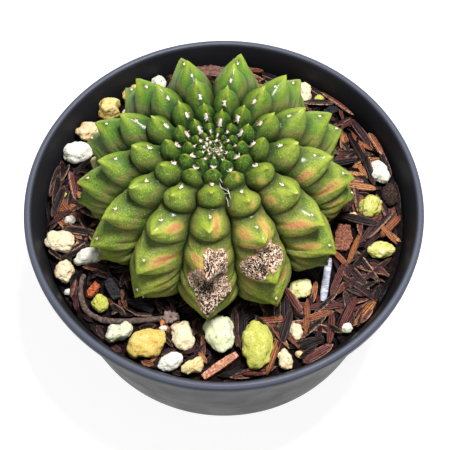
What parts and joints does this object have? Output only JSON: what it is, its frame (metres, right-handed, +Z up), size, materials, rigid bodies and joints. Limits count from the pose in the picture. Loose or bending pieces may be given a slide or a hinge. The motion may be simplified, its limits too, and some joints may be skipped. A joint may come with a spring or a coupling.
{
  "type": "potted chin cactus",
  "caption": "Low round ribbed cactus with chin-like tubercles in a tapered round plastic pot, on a mix dressed with husks and pumice.",
  "frame": {"origin": "centre of the pot's underside, on the surface that it stands on", "axes": "+Z up, +X to the right and +Y to the back as seen in the picture"},
  "size_m": [0.102, 0.102, 0.0715],
  "materials": {
    "pot": "matte moulded, slightly satin, fine specks",
    "cactus_skin": "satin living skin, dark green crown to yellow-green chins",
    "potting_mix": "matte dark rice husks with coppery edges",
    "pumice_white": "matte porous",
    "pumice_cream": "matte porous",
    "pumice_yellow": "matte porous",
    "pumice_green": "matte porous",
    "bark": "matte rough",
    "bark_red": "matte flaky",
    "charcoal": "matte brittle",
    "straw": "matte fibrous",
    "straw_grey": "matte fibrous",
    "twig": "matte rough"
  },
  "bodies": {
    "root": {"pot": "pot", "cactus": "cactus_skin", "potting_mix": "potting_mix", "pumice_01": "pumice_white", "pumice_02": "pumice_cream", "pumice_03": "pumice_yellow", "pumice_04": "pumice_cream", "pumice_05": "pumice_yellow", "pumice_06": "pumice_white", "pumice_07": "pumice_green", "pumice_08": "pumice_cream", "pumice_09": "pumice_green", "pumice_10": "pumice_white", "pumice_11": "pumice_green", "pumice_12": "pumice_green", "pumice_13": "pumice_cream", "pumice_14": "pumice_white", "pumice_15": "pumice_cream", "pumice_16": "pumice_green", "pumice_17": "pumice_white", "pumice_18": "pumice_yellow", "pumice_19": "pumice_cream", "pumice_20": "pumice_white", "pumice_21": "pumice_white", "pumice_22": "pumice_yellow", "pumice_23": "pumice_green", "pumice_24": "pumice_green", "pumice_25": "pumice_cream", "pumice_26": "pumice_white", "pumice_27": "pumice_cream", "pumice_28": "pumice_white", "pumice_29": "pumice_green", "pumice_30": "pumice_white", "pumice_31": "pumice_white", "pumice_32": "pumice_yellow", "pumice_33": "pumice_cream", "bark_back": "bark", "bark_right": "bark", "bark_flake": "bark_red", "bark_chip": "bark_red", "charcoal_left": "charcoal", "charcoal_low": "charcoal", "charcoal_back": "charcoal", "straw_stick": "straw", "straw_blade": "straw_grey", "twig": "twig"}
  },
  "joints": []
}
